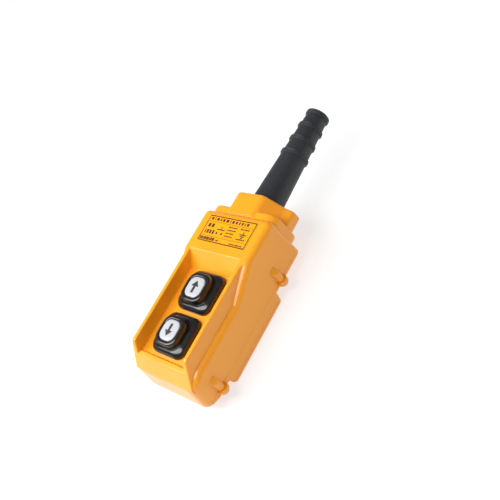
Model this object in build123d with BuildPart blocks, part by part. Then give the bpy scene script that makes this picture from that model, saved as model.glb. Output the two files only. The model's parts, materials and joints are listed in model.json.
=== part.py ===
"""Two-button pendant control station, lying on its back.

Row frame: +Z comes out of the button face, +Y runs towards the cable boot, +X is to the
right as seen from the front. The origin is under the middle of the whole, on the back face.
"""

import os
from build123d import *

os.makedirs("parts", exist_ok=True)

# Lengths in millimetres. Places along the body are measured up from its bottom end.
LENGTH = 238.0
BODY_LENGTH = 131.0
HALF_WIDTH = 35.0
FRONT_Z = 50.0
WALL = 3.0
PARTING_Z = 14.0
COVER_FACE_Z = 11.0

# The front face steps down from the label plate to the shoulders beside the shroud.
SHOULDER_Z = 39.0
SHOULDER_TOP, SHOULDER_FOOT = 95.5, 67.0
CREASE, CREASE_Z = 2.4, 31.2
EDGE_R, CORNER_R = 5.0, 9.0
HOLLOW_R = 2.5
HOLLOW_LOW_Z, HOLLOW_RISE = 25.3, 16.5

# The button recess and the shroud around it.
SHROUD_HALF_WIDTH = 30.0
RIM_END = 16.7
RECESS_HALF_WIDTH = 26.5
RECESS_DRAFT = 1.5
FLOOR_Z = 40.0
RAMP_TOP, RAMP_FOOT = 96.4, 84.4
LIP, LIP_Z = 14.2, 42.0
RIM_END_R, RIM_R, FLOOR_R, LIP_R = 3.5, 1.0, 1.0, 0.6

# Buttons: the floor's opening, then the rubber boot from its inner lip up to the ring.
BUTTONS = {"up": 68.0, "down": 33.0}
TRAVEL = 4.0
OPENING, OPENING_R = (30.0, 28.0), 6.5
BUTTON_TOP_Z = 50.4
LIP_BOTTOM_Z = 35.4
BOOT_WALL_TOP_Z = 42.2
SHOULDER_TOP_Z = 45.6
CAP_ROOF_Z = 47.9
BOOT_FOOT, BOOT_FOOT_R = (34.4, 32.0), 8.0
BOOT_SHOULDER = (26.0, 25.6)
BOOT_RING, BOOT_RING_R = (22.4, 23.6), 7.5
BOOT_INSIDE, BOOT_INSIDE_R = (19.2, 20.0), 6.0
LEGEND, LEGEND_R = (15.6, 15.8), 5.6
SPIGOT_R, SPIGOT_LENGTH = 2.4, 3.5

# Neck and cable boot, both round the cable's axis.
AXIS_Z = 29.0
FLANGE_END, COLLAR_END = 137.0, 150.0
FLANGE_HALF_WIDTH, FLANGE_TOP_Z, FLANGE_R = 33.0, 47.4, 9.0
NECK_BORE_R = 12.7
SOCKET_R = 14.2
SOCKET_END = 146.5
COLLAR = [(13.0, 19.8), (25.2, 5.6), (31.4, 2.6), (31.4, -7.2), (23.5, -8.6), (15.5, -17.0)]
COLLAR_R = [7.0, 7.0, 4.0, 3.4, 4.0, 6.0]
COLLAR_EDGE_R = 1.8
EAR_CORE = (54.0, 6.0)
CABLE_R = 5.25
RING_PLACES = (197.4, 210.6, 223.8, 236.4)
RING_WIDTH, RING_HEIGHT = 3.2, 1.2
NECK_R, TAPER_END_R, TIP_END_R = 12.5, 10.5, 8.5
BOOT_FLANGE = 3.5

# Saddle that grips the cable's sheath inside the housing.
CLAMP_PLACE, CLAMP_SCREW_X = 112.0, 12.0
CLAMP_SCREWS = [(side * CLAMP_SCREW_X, CLAMP_PLACE - LENGTH / 2) for side in (-1, 1)]
CLAMP_SHEET = 1.6

# Rear cover, its tray with a narrow lower end, and its four screws.
TRAY_BOTTOM, TRAY_TOP = 24.0, 95.0
TRAY_STEP_Z, TRAY_FLOOR_Z, TRAY_EDGE_R = 6.0, 2.5, 2.4
TONGUE_HALF_WIDTH, TONGUE_END = 23.0, 122.0
NARROW_PLACE, NARROW, NARROW_INSIDE = 27.5, (54.0, 42.0), (48.0, 36.6)
LUG_X, LUG_R, LUG_COLUMN_R = 35.4, 4.4, 2.9
LUGS = (16.5, 103.5)
LUG_CENTRES = [(side * LUG_X, place - LENGTH / 2) for side in (-1, 1) for place in LUGS]
LUG_END_Z, LUG_RAMP_Z, LUG_EDGE_R = 27.0, 19.0, 0.8
SCREW_R, SCREW_CLEARANCE = 1.5, 0.2
INSERT_R, INSERT_LENGTH = 2.0, 7.0
GASKET_INSET, GASKET_WIDTH, GASKET_HEIGHT = 1.8, 1.0, 1.2

# Contact block: front half with the guides, rear half with the terminals.
BLOCK_HALF_WIDTH = 22.0
BLOCK_BOTTOM, BLOCK_TOP = 17.0, 84.0
BLOCK_Z = (11.0, 20.0, 31.0)
BLOCK_SCREWS = (13.6, 87.6)
BLOCK_SCREW_CENTRES = [(0, place - LENGTH / 2) for place in BLOCK_SCREWS]
BLOCK_BOSS_R, CLAMP_BOSS_R = 3.2, 3.6
BUTTON_CENTRES = [(0, place - LENGTH / 2) for place in BUTTONS.values()]
CLAMP_PLATE = 1.2

# Contacts: a round stem through the block carries a bridge down onto fixed strips.
STEM_R = 3.5
RUN = 0.1
PLUNGER_HEAD_Z = 42.0
PLUNGER_HEAD, PLUNGER_HEAD_R = (18.0, 18.8), 5.5
STEM_END_Z = 13.0
SPRING_R, WIRE_R, SPRING_TURNS = 4.8, 0.45, 5
BRIDGE_Z = 21.6
BRIDGE_LENGTH, BRIDGE_WIDTH, BRIDGE_THICKNESS = 20.0, 4.4, 0.8
TIP_X, TIP_R, TIP_HEIGHT = 7.5, 1.5, 0.7
FIXED_TOP_Z = BRIDGE_Z - TIP_HEIGHT - TRAVEL - RUN
WELL, WELL_FLOOR_Z, WELL_DEPTH = (26.4, 10.0), 14.0, 8.0
STRIP, STRIP_WIDTH = 1.0, 6.0
STRIP_INNER_X, LEG_X, STRIP_OUTER_X = 5.2, 12.0, 21.0
TERMINAL_X = 17.0
TERMINALS = [(side * TERMINAL_X, y) for side in (-1, 1) for _, y in BUTTON_CENTRES]
CLAMP_Z, CLAMP_WASHER = BLOCK_Z[0] - STRIP, 0.8


def along(place):
    """Y of a place given in millimetres up from the body's bottom end."""
    return place - LENGTH / 2


def yz(place, z):
    """A profile point in the YZ plane."""
    return (along(place), z)


def finish(builder, name):
    """Label a finished piece and write its STEP file."""
    builder.part.label = name
    export_step(builder.part, f"parts/{name}.step")


def body_outline(inset=0.0, mode=Mode.ADD):
    """Plan outline of the body, drawn in from the edge by inset."""
    width = 2 * (HALF_WIDTH - inset)
    length = 0.6 * BODY_LENGTH
    with Locations((0, along(inset + length / 2))):
        RectangleRounded(width, length, CORNER_R - inset, mode=mode)
    with Locations((0, along(BODY_LENGTH - inset - length / 2))):
        RectangleRounded(width, length, EDGE_R - inset, mode=mode)


def leaning_outline(inset=0.0):
    """Plan outline with the lower corners only, to be extruded along the leaning end."""
    length = BODY_LENGTH + 50
    with Locations((0, along(inset + length / 2))):
        RectangleRounded(2 * (HALF_WIDTH - inset), length, CORNER_R - inset)


def rim(edges, half_width):
    """Edges along the shroud's rim on both sides, down to the lip."""
    return edges.filter_by(
        lambda edge: abs(abs(edge.center().X) - half_width) < 0.8
        and edge.center().Z > LIP_Z + 0.5
        and edge.center().Y < along(RAMP_FOOT)
        and edge.bounding_box().size.Y > 1.5
    )


def crosswise(edges, z):
    """Edges that run across the middle at height z."""
    middle = edges.filter_by_position(Axis.Z, z - 0.1, z + 0.1)
    return middle.filter_by(Axis.X).filter_by(lambda edge: abs(edge.center().X) < 0.1)


def gasket_ring():
    """Plan of the gasket and of its groove, inside the screw holes."""
    body_outline(GASKET_INSET)
    body_outline(GASKET_INSET + GASKET_WIDTH, Mode.SUBTRACT)


# ---------------------------------------------------------------- front housing
# Outer block: one side profile across the whole width, with all its outer edges rounded.
with BuildPart() as outer_block:
    with BuildSketch(Plane.YZ.offset(-HALF_WIDTH)):
        # The shoulder bows down to the crease, tangent to the shroud's sloping end there.
        slope = Vector(RIM_END - CREASE, FRONT_Z - CREASE_Z).normalized()
        shoulder_end = CREASE + (SHOULDER_Z - CREASE_Z) * (slope.X + 1) / slope.Y
        crease = yz(CREASE, CREASE_Z)
        with BuildLine():
            Polyline(
                crease,
                yz(CREASE - 3, CREASE_Z - 3),
                yz(-5, CREASE_Z - 3),
                yz(-5, PARTING_Z),
                yz(BODY_LENGTH, PARTING_Z),
                yz(BODY_LENGTH, FRONT_Z),
                yz(SHOULDER_TOP, FRONT_Z),
                yz(SHOULDER_FOOT, SHOULDER_Z),
                yz(shoulder_end, SHOULDER_Z),
            )
            TangentArc(yz(shoulder_end, SHOULDER_Z), crease, tangent=(-1, 0))
        make_face()
    extrude(amount=2 * HALF_WIDTH)
    # The lower end leans back to the crease, and its upright corners lean with it.
    lean = Vector(0, CREASE, CREASE_Z - PARTING_Z).normalized()
    with BuildSketch(Plane.XY.offset(PARTING_Z)):
        leaning_outline()
    extrude(amount=60, dir=lean, mode=Mode.INTERSECT)
    rounded = outer_block.edges().filter_by(
        lambda edge: edge.center().Z > CREASE_Z - 0.1
        and abs(edge.center().X) > HALF_WIDTH - CORNER_R
    )
    top_corner = outer_block.edges().filter_by(Axis.X).group_by(Axis.Y)[-1].sort_by(Axis.Z)[-1]
    fillet([*rounded, top_corner], EDGE_R)

# Shroud: drafted walls round the recess, its lower end sloping down to the crease.
with BuildPart() as shroud:
    with BuildSketch(Plane.XZ.offset(-along(100))):
        foot = SHROUD_HALF_WIDTH + 1.6
        with BuildLine():
            Polyline(
                (-foot, CREASE_Z - 2),
                (-SHROUD_HALF_WIDTH, FRONT_Z),
                (SHROUD_HALF_WIDTH, FRONT_Z),
                (foot, CREASE_Z - 2),
                close=True,
            )
        make_face()
    extrude(amount=100)
    with BuildSketch(Plane.YZ.offset(-HALF_WIDTH)):
        # The slope stops just short of the crease, where the block's rounding begins.
        low = CREASE + 0.7
        low_z = CREASE_Z + 0.7 * slope.Y / slope.X
        with BuildLine():
            Polyline(
                yz(100, CREASE_Z - 2),
                yz(100, FRONT_Z),
                yz(RIM_END, FRONT_Z),
                yz(low, low_z),
                yz(low, CREASE_Z - 2),
                close=True,
            )
        make_face()
    extrude(amount=2 * HALF_WIDTH, mode=Mode.INTERSECT)
    rim_end = shroud.edges().filter_by(Axis.X).filter_by_position(
        Axis.Y, along(RIM_END) - 0.1, along(RIM_END) + 0.1
    )
    fillet(rim_end, RIM_END_R)

# Recess: the pocket that the buttons stand in, open over the low lip at its bottom end.
with BuildPart() as recess:
    with BuildSketch(Plane.YZ.offset(-HALF_WIDTH)):
        with BuildLine():
            Polyline(
                yz(RAMP_TOP + 2.4, FRONT_Z + 2),
                yz(RAMP_FOOT, FLOOR_Z),
                yz(LIP, FLOOR_Z),
                yz(LIP, LIP_Z),
                yz(0, LIP_Z),
                yz(0, FRONT_Z + 2),
                close=True,
            )
        make_face()
    extrude(amount=2 * HALF_WIDTH)
    with BuildSketch(Plane.XZ.offset(-along(BODY_LENGTH))):
        floor_half = RECESS_HALF_WIDTH - RECESS_DRAFT
        with BuildLine():
            Polyline(
                (-floor_half, FLOOR_Z),
                (-RECESS_HALF_WIDTH - 0.3, FRONT_Z + 2),
                (RECESS_HALF_WIDTH + 0.3, FRONT_Z + 2),
                (floor_half, FLOOR_Z),
                close=True,
            )
        make_face()
    extrude(amount=BODY_LENGTH, mode=Mode.INTERSECT)

# Hollow: the space inside the housing, one wall thickness in from the outer surfaces.
with BuildPart() as hollow:
    with BuildSketch(Plane.YZ.offset(-HALF_WIDTH + WALL)):
        ceiling = FLOOR_Z - WALL
        with BuildLine():
            Polyline(
                yz(0, PARTING_Z),
                yz(0, HOLLOW_LOW_Z),
                yz(HOLLOW_RISE, ceiling),
                yz(85.5, ceiling),
                yz(97.5, FRONT_Z - WALL),
                yz(BODY_LENGTH - WALL, FRONT_Z - WALL),
                yz(BODY_LENGTH - WALL, PARTING_Z),
                close=True,
            )
        make_face()
    extrude(amount=2 * (HALF_WIDTH - WALL))
    with BuildSketch(Plane.XY.offset(PARTING_Z)):
        leaning_outline(WALL)
    extrude(amount=60, dir=lean, mode=Mode.INTERSECT)
    upper = hollow.edges().filter_by(
        lambda edge: edge.center().Z > HOLLOW_LOW_Z + 2
        and abs(edge.center().X) > HALF_WIDTH - CORNER_R
    )
    fillet(upper, HOLLOW_R)

# Collar round the cable boot: flat front, sloping flanks, an ear on each side, flat back.
with BuildPart() as collar:
    with BuildSketch(Plane.XZ.offset(-along(COLLAR_END))):
        right = [(x, AXIS_Z + z) for x, z in COLLAR]
        left = [(-x, z) for x, z in reversed(right)]
        with BuildLine():
            FilletPolyline(*right, *left, radius=COLLAR_R + COLLAR_R[::-1], close=True)
        make_face()
    extrude(amount=COLLAR_END - BODY_LENGTH - 0.2)
    fillet(collar.faces().sort_by(Axis.Y)[-1].edges(), COLLAR_EDGE_R)

with BuildPart() as neck_flange:
    with BuildSketch(Plane.XZ.offset(-along(FLANGE_END))):
        with Locations((0, (PARTING_Z + FLANGE_TOP_Z) / 2)):
            RectangleRounded(2 * FLANGE_HALF_WIDTH, FLANGE_TOP_Z - PARTING_Z, FLANGE_R)
    extrude(amount=FLANGE_END - BODY_LENGTH + 4)
    fillet(neck_flange.faces().sort_by(Axis.Y)[-1].edges(), 2.0)

# Screw lugs: round columns on the sides, their front ends ramped into the wall.
with BuildPart() as lugs:
    for side in (-1, 1):
        for place in LUGS:
            with BuildSketch(Plane.XY.offset(PARTING_Z)):
                with Locations((side * LUG_X, along(place))):
                    Circle(LUG_COLUMN_R)
            extrude(amount=LUG_END_Z - PARTING_Z)
            with BuildSketch(Plane.XZ.offset(-along(place + LUG_R + 1))):
                with BuildLine():
                    lug_side = LUG_X + LUG_R + 0.5
                    Polyline(
                        (side * (HALF_WIDTH - 0.3), LUG_END_Z + 1),
                        (side * lug_side, LUG_RAMP_Z),
                        (side * (lug_side + 5), LUG_RAMP_Z),
                        (side * (lug_side + 5), LUG_END_Z + 1),
                        close=True,
                    )
                make_face()
            extrude(amount=2 * LUG_R + 2, mode=Mode.SUBTRACT)
    ramps = lugs.edges().filter_by(lambda edge: edge.center().Z > LUG_RAMP_Z)
    fillet(ramps, LUG_EDGE_R)

with BuildPart() as front_housing:
    add(outer_block.part)
    add(shroud.part)
    add(recess.part, mode=Mode.SUBTRACT)
    # Soften the shroud's rims, then the foot of the recess's walls and ramp, then the lip.
    fillet(rim(front_housing.edges(), SHROUD_HALF_WIDTH + 0.3), RIM_R)
    ramp_top = crosswise(front_housing.edges(), FRONT_Z).sort_by(Axis.Y)[0]
    fillet([*rim(front_housing.edges(), RECESS_HALF_WIDTH - 0.4), ramp_top], RIM_R)
    recess_foot = front_housing.edges().filter_by_position(Axis.Z, FLOOR_Z - 0.1, FLOOR_Z + 0.1)
    ramp_sides = front_housing.edges().filter_by(
        lambda edge: abs(abs(edge.center().X) - RECESS_HALF_WIDTH) < RECESS_DRAFT
        and along(RAMP_FOOT) < edge.center().Y < along(RAMP_TOP)
        and edge.center().Z < FRONT_Z - 1
        and edge.bounding_box().size.Z > 5
    )
    fillet([*recess_foot, *ramp_sides], FLOOR_R)
    fillet(crosswise(front_housing.edges(), LIP_Z), LIP_R)
    add(neck_flange.part)
    add(collar.part)
    add(hollow.part, mode=Mode.SUBTRACT)
    add(lugs.part)
    # Socket for the cable boot, and the coring of the collar's ears.
    with BuildSketch(Plane.XZ.offset(-along(SOCKET_END))):
        with Locations((0, AXIS_Z)):
            Circle(SOCKET_R)
            Rectangle(*EAR_CORE)
    extrude(amount=SOCKET_END - BODY_LENGTH + WALL + 0.5, mode=Mode.SUBTRACT)
    with BuildSketch(Plane.XZ.offset(-along(COLLAR_END))):
        with Locations((0, AXIS_Z)):
            Circle(NECK_BORE_R)
    extrude(amount=COLLAR_END - SOCKET_END + 1, mode=Mode.SUBTRACT)
    # Openings that the buttons pass through.
    with BuildSketch(Plane.XY.offset(FLOOR_Z - WALL - 0.5)):
        with Locations(*BUTTON_CENTRES):
            RectangleRounded(*OPENING, OPENING_R)
    extrude(amount=WALL + 1, mode=Mode.SUBTRACT)
    # Bosses for the contact block's screws and the cable clamp's screws.
    with BuildSketch(Plane.XY.offset(BLOCK_Z[2])):
        with Locations(*BLOCK_SCREW_CENTRES):
            Circle(BLOCK_BOSS_R)
    extrude(amount=FLOOR_Z - WALL / 2 - BLOCK_Z[2])
    with BuildSketch(Plane.XY.offset(AXIS_Z)):
        with Locations(*CLAMP_SCREWS):
            Circle(CLAMP_BOSS_R)
    extrude(amount=FRONT_Z - WALL + 0.5 - AXIS_Z)
    with BuildSketch(Plane.XY.offset(AXIS_Z)):
        with Locations(*CLAMP_SCREWS):
            Circle(SCREW_R)
    extrude(amount=8, mode=Mode.SUBTRACT)
    with BuildSketch(Plane.XY.offset(BLOCK_Z[2])):
        with Locations(*BLOCK_SCREW_CENTRES):
            Circle(SCREW_R)
    extrude(amount=6, mode=Mode.SUBTRACT)
    # Seats for the threaded inserts in the lugs.
    with BuildSketch(Plane.XY.offset(PARTING_Z)):
        with Locations(*LUG_CENTRES):
            Circle(INSERT_R)
    extrude(amount=INSERT_LENGTH + 1, mode=Mode.SUBTRACT)
finish(front_housing, "front_housing")

# ------------------------------------------------------------------- rear cover
# Flange plate over the whole back, with a raised tray between the screws.
with BuildPart() as rear_cover:
    with BuildSketch(Plane.XY.offset(COVER_FACE_Z)):
        body_outline()
        with Locations(*LUG_CENTRES):
            Circle(LUG_R)
    extrude(amount=PARTING_Z - COVER_FACE_Z)
    tray_middle = along((TRAY_BOTTOM + TRAY_TOP) / 2)
    tray_length = TRAY_TOP - TRAY_BOTTOM
    with BuildSketch(Plane.XY.offset(TRAY_STEP_Z)):
        with Locations((0, tray_middle)):
            RectangleRounded(2 * HALF_WIDTH, tray_length, 4.0)
    extrude(amount=COVER_FACE_Z - TRAY_STEP_Z)
    with BuildSketch(Plane.XY):
        with Locations((0, tray_middle)):
            RectangleRounded(2 * HALF_WIDTH - 1.6, tray_length - 1.6, 3.6)
    extrude(amount=TRAY_STEP_Z)
    with BuildSketch(Plane.XY):
        with Locations((0, along(NARROW_PLACE))):
            RectangleRounded(*NARROW, 6.0)
    extrude(amount=COVER_FACE_Z)
    fillet(rear_cover.faces().sort_by(Axis.Z)[0].edges(), TRAY_EDGE_R)
    # The upper end of the tray runs out in a sloping tongue between the upper screws.
    with BuildSketch(Plane.YZ.offset(-TONGUE_HALF_WIDTH)):
        with BuildLine():
            Polyline(
                yz(TRAY_TOP - 4, COVER_FACE_Z),
                yz(TRAY_TOP - 4, 2.0),
                yz(TRAY_TOP + 3, 2.0),
                yz(TONGUE_END, COVER_FACE_Z),
                close=True,
            )
        make_face()
    extrude(amount=2 * TONGUE_HALF_WIDTH)
    # Inside of the tray, and of its narrow lower end.
    with BuildSketch(Plane.XY.offset(TRAY_FLOOR_Z)):
        with Locations((0, tray_middle)):
            RectangleRounded(2 * HALF_WIDTH - 7, tray_length - 2 * WALL, 2.5)
        with Locations((0, along(NARROW_PLACE))):
            RectangleRounded(*NARROW_INSIDE, 3.0)
    extrude(amount=PARTING_Z - TRAY_FLOOR_Z, mode=Mode.SUBTRACT)
    # Screw holes, and the groove for the gasket just inside the edge.
    with BuildSketch(Plane.XY.offset(COVER_FACE_Z)):
        with Locations(*LUG_CENTRES):
            Circle(SCREW_R + SCREW_CLEARANCE)
    extrude(amount=PARTING_Z - COVER_FACE_Z, mode=Mode.SUBTRACT)
    with BuildSketch(Plane.XY.offset(PARTING_Z - GASKET_HEIGHT)):
        gasket_ring()
    extrude(amount=GASKET_HEIGHT, mode=Mode.SUBTRACT)
finish(rear_cover, "rear_cover")

with BuildPart() as cover_gasket:
    with BuildSketch(Plane.XY.offset(PARTING_Z - GASKET_HEIGHT)):
        gasket_ring()
    extrude(amount=GASKET_HEIGHT)
finish(cover_gasket, "cover_gasket")


def pan_head_screw(centres, seat_z, tip_z, head_r=2.9, head_height=2.3):
    """Cross-recess pan-head screws driven towards +Z, heads below seat_z."""
    with BuildPart() as screws:
        with BuildSketch(Plane.XY.offset(seat_z)):
            with Locations(*centres):
                Circle(SCREW_R)
        extrude(amount=tip_z - seat_z)
        with BuildSketch(Plane.XY.offset(seat_z - head_height)):
            with Locations(*centres):
                Circle(head_r)
        extrude(amount=head_height)
        heads = screws.faces().filter_by(Axis.Z).group_by(Axis.Z)[0]
        fillet(heads.edges(), 0.9)
        with BuildSketch(Plane.XY.offset(seat_z - head_height)):
            with Locations(*centres):
                Rectangle(3.0, 0.8)
                Rectangle(0.8, 3.0)
        extrude(amount=1.3, mode=Mode.SUBTRACT)
    return screws


cover_screws = pan_head_screw(LUG_CENTRES, COVER_FACE_Z, 21.5, head_r=3.2, head_height=2.5)
finish(cover_screws, "cover_screws")

with BuildPart() as threaded_inserts:
    with BuildSketch(Plane.XY.offset(PARTING_Z)):
        with Locations(*LUG_CENTRES):
            Circle(INSERT_R)
            Circle(SCREW_R, mode=Mode.SUBTRACT)
    extrude(amount=INSERT_LENGTH)
finish(threaded_inserts, "threaded_inserts")

with BuildPart() as rating_label:
    with BuildSketch(Plane.XY.offset(FRONT_Z)):
        with Locations((0, along(114.6))):
            RectangleRounded(50.0, 23.2, 0.6)
    extrude(amount=0.2)
finish(rating_label, "rating_label")

# ---------------------------------------------------------------------- buttons
def button_boot(place):
    """Rubber boot: clamped inner lip, neck in the floor opening, soft shoulder and ring."""
    centre = (0, along(place))
    with BuildPart() as boot:
        with BuildSketch(Plane.XY.offset(LIP_BOTTOM_Z)):
            with Locations(centre):
                RectangleRounded(OPENING[0] + 3.6, OPENING[1] + 3.4, 7.5)
        extrude(amount=FLOOR_Z - WALL - LIP_BOTTOM_Z)
        with BuildSketch(Plane.XY.offset(FLOOR_Z - WALL)):
            with Locations(centre):
                RectangleRounded(*OPENING, OPENING_R)
        extrude(amount=WALL)
        with BuildSketch(Plane.XY.offset(FLOOR_Z)):
            with Locations(centre):
                RectangleRounded(*BOOT_FOOT, BOOT_FOOT_R)
        extrude(amount=BOOT_WALL_TOP_Z - FLOOR_Z)
        with BuildSketch(Plane.XY.offset(BOOT_WALL_TOP_Z)):
            with Locations(centre):
                RectangleRounded(*BOOT_FOOT, BOOT_FOOT_R)
        with BuildSketch(Plane.XY.offset(SHOULDER_TOP_Z)):
            with Locations(centre):
                RectangleRounded(*BOOT_SHOULDER, BOOT_RING_R)
        loft()
        with BuildSketch(Plane.XY.offset(SHOULDER_TOP_Z)):
            with Locations(centre):
                RectangleRounded(*BOOT_RING, BOOT_RING_R)
        extrude(amount=BUTTON_TOP_Z - 0.2 - SHOULDER_TOP_Z)
        fillet(boot.faces().sort_by(Axis.Z)[-1].edges(), 0.8)
        with BuildSketch(Plane.XY.offset(LIP_BOTTOM_Z)):
            with Locations(centre):
                RectangleRounded(OPENING[0] - 5, OPENING[1] - 5, 5.0)
        with BuildSketch(Plane.XY.offset(SHOULDER_TOP_Z - 1.5)):
            with Locations(centre):
                RectangleRounded(*BOOT_INSIDE, BOOT_INSIDE_R)
        loft(mode=Mode.SUBTRACT)
        with BuildSketch(Plane.XY.offset(SHOULDER_TOP_Z - 1.5)):
            with Locations(centre):
                RectangleRounded(*BOOT_INSIDE, BOOT_INSIDE_R)
        extrude(amount=CAP_ROOF_Z - SHOULDER_TOP_Z + 1.5, mode=Mode.SUBTRACT)
        with BuildSketch(Plane.XY.offset(CAP_ROOF_Z - 1)):
            with Locations(centre):
                RectangleRounded(LEGEND[0] + 0.3, LEGEND[1] + 0.3, LEGEND_R)
        extrude(amount=5, mode=Mode.SUBTRACT)
    return boot


def legend_insert(place):
    """White legend plate with a crowned face and a spigot into the plunger."""
    centre = (0, along(place))
    with BuildPart() as insert:
        with BuildSketch(Plane.XY.offset(CAP_ROOF_Z - 0.4)):
            with Locations(centre):
                RectangleRounded(*LEGEND, LEGEND_R)
        extrude(amount=BUTTON_TOP_Z - CAP_ROOF_Z + 0.4)
        fillet(insert.faces().sort_by(Axis.Z)[-1].edges(), 0.7)
        with BuildSketch(Plane.XY.offset(CAP_ROOF_Z - 0.4)):
            with Locations(centre):
                Circle(SPIGOT_R)
        extrude(amount=-SPIGOT_LENGTH)
    return insert


def plunger(place):
    """Nylon plunger: broad head under the rubber, round stem with a window for the bridge."""
    centre = (0, along(place))
    with BuildPart() as body:
        with BuildSketch(Plane.XY.offset(STEM_END_Z)):
            with Locations(centre):
                Circle(STEM_R)
        extrude(amount=PLUNGER_HEAD_Z - STEM_END_Z)
        with BuildSketch(Plane.XY.offset(PLUNGER_HEAD_Z)):
            with Locations(centre):
                RectangleRounded(*PLUNGER_HEAD, PLUNGER_HEAD_R)
        extrude(amount=CAP_ROOF_Z - 0.4 - PLUNGER_HEAD_Z)
        with BuildSketch(Plane.XY.offset(CAP_ROOF_Z - 0.4 - SPIGOT_LENGTH)):
            with Locations(centre):
                Circle(SPIGOT_R)
        extrude(amount=SPIGOT_LENGTH, mode=Mode.SUBTRACT)
        with BuildSketch(Plane.XY.offset(BRIDGE_Z)):
            with Locations(centre):
                Rectangle(2 * STEM_R + 2, BRIDGE_WIDTH)
        extrude(amount=BRIDGE_THICKNESS, mode=Mode.SUBTRACT)
    return body


def return_spring(place):
    """Compression spring between the contact block and the plunger's head."""
    start_z = BLOCK_Z[2] + WIRE_R + 0.05
    height = PLUNGER_HEAD_Z - WIRE_R - 0.05 - start_z
    with BuildPart() as spring:
        with BuildLine(Plane((0, along(place), start_z))) as coil:
            Helix(pitch=height / SPRING_TURNS, height=height, radius=SPRING_R)
        with BuildSketch(Plane(origin=coil.line @ 0, z_dir=coil.line % 0)):
            Circle(WIRE_R)
        sweep()
    return spring


def contact_bridge(place):
    """Brass strip through the stem, with a silver tip under each end."""
    with BuildPart() as bridge:
        with BuildSketch(Plane.XY.offset(BRIDGE_Z)):
            with Locations((0, along(place))):
                RectangleRounded(BRIDGE_LENGTH, BRIDGE_WIDTH, 0.8)
        extrude(amount=BRIDGE_THICKNESS)
        with BuildSketch(Plane.XY.offset(BRIDGE_Z - TIP_HEIGHT)):
            with Locations((-TIP_X, along(place)), (TIP_X, along(place))):
                Circle(TIP_R)
        extrude(amount=TIP_HEIGHT)
    return bridge


def fixed_contacts(place):
    """Pair of stepped brass strips: tip inside the block, terminal on its rear face."""
    with BuildPart() as strips:
        for side in (-1, 1):
            with BuildSketch(Plane.XZ.offset(-along(place) - STRIP_WIDTH / 2)):
                with BuildLine():
                    Polyline(
                        (side * STRIP_INNER_X, WELL_FLOOR_Z),
                        (side * STRIP_INNER_X, WELL_FLOOR_Z + STRIP),
                        (side * (LEG_X + STRIP), WELL_FLOOR_Z + STRIP),
                        (side * (LEG_X + STRIP), BLOCK_Z[0]),
                        (side * STRIP_OUTER_X, BLOCK_Z[0]),
                        (side * STRIP_OUTER_X, CLAMP_Z),
                        (side * LEG_X, CLAMP_Z),
                        (side * LEG_X, WELL_FLOOR_Z),
                        close=True,
                    )
                make_face()
            extrude(amount=STRIP_WIDTH)
        with BuildSketch(Plane.XY.offset(WELL_FLOOR_Z + STRIP)):
            with Locations((-TIP_X, along(place)), (TIP_X, along(place))):
                Circle(TIP_R)
        extrude(amount=FIXED_TOP_Z - WELL_FLOOR_Z - STRIP)
        with BuildSketch(Plane.XY.offset(CLAMP_Z)):
            with Locations((-TERMINAL_X, along(place)), (TERMINAL_X, along(place))):
                Circle(SCREW_R)
        extrude(amount=STRIP, mode=Mode.SUBTRACT)
    return strips


for name, place in BUTTONS.items():
    finish(button_boot(place), f"{name}_button_boot")
    finish(legend_insert(place), f"{name}_legend_insert")
    finish(plunger(place), f"{name}_plunger")
    finish(return_spring(place), f"{name}_return_spring")
    finish(contact_bridge(place), f"{name}_contact_bridge")
    finish(fixed_contacts(place), f"{name}_fixed_contacts")

# ---------------------------------------------------------------- contact block
block_middle = along((BLOCK_BOTTOM + BLOCK_TOP) / 2)


def block_outline():
    """Plan outline of both halves of the contact block, with an ear at each end."""
    with Locations((0, block_middle)):
        RectangleRounded(2 * BLOCK_HALF_WIDTH, BLOCK_TOP - BLOCK_BOTTOM, 3.0)
    with Locations((0, along(sum(BLOCK_SCREWS) / 2))):
        RectangleRounded(10.0, BLOCK_SCREWS[1] - BLOCK_SCREWS[0] + 8, 3.0)


with BuildPart() as contact_block_body:
    with BuildSketch(Plane.XY.offset(BLOCK_Z[1])):
        block_outline()
    extrude(amount=BLOCK_Z[2] - BLOCK_Z[1])
    with BuildSketch(Plane.XY.offset(BLOCK_Z[2])):
        # Rails that press the clamp plate up.
        with Locations((-18.2, block_middle), (18.2, block_middle)):
            Rectangle(3.6, BLOCK_TOP - BLOCK_BOTTOM - 6)
    extrude(amount=LIP_BOTTOM_Z - CLAMP_PLATE - BLOCK_Z[2])
    with BuildSketch(Plane.XY.offset(BLOCK_Z[1])):
        with Locations(*BUTTON_CENTRES):
            Rectangle(*WELL)
    extrude(amount=WELL_DEPTH, mode=Mode.SUBTRACT)
    with BuildSketch(Plane.XY.offset(BLOCK_Z[1])):
        with Locations(*BUTTON_CENTRES):
            Circle(STEM_R + RUN)
        with Locations(*BLOCK_SCREW_CENTRES):
            Circle(SCREW_R + SCREW_CLEARANCE)
    extrude(amount=BLOCK_Z[2] - BLOCK_Z[1], mode=Mode.SUBTRACT)
finish(contact_block_body, "contact_block_body")

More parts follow.
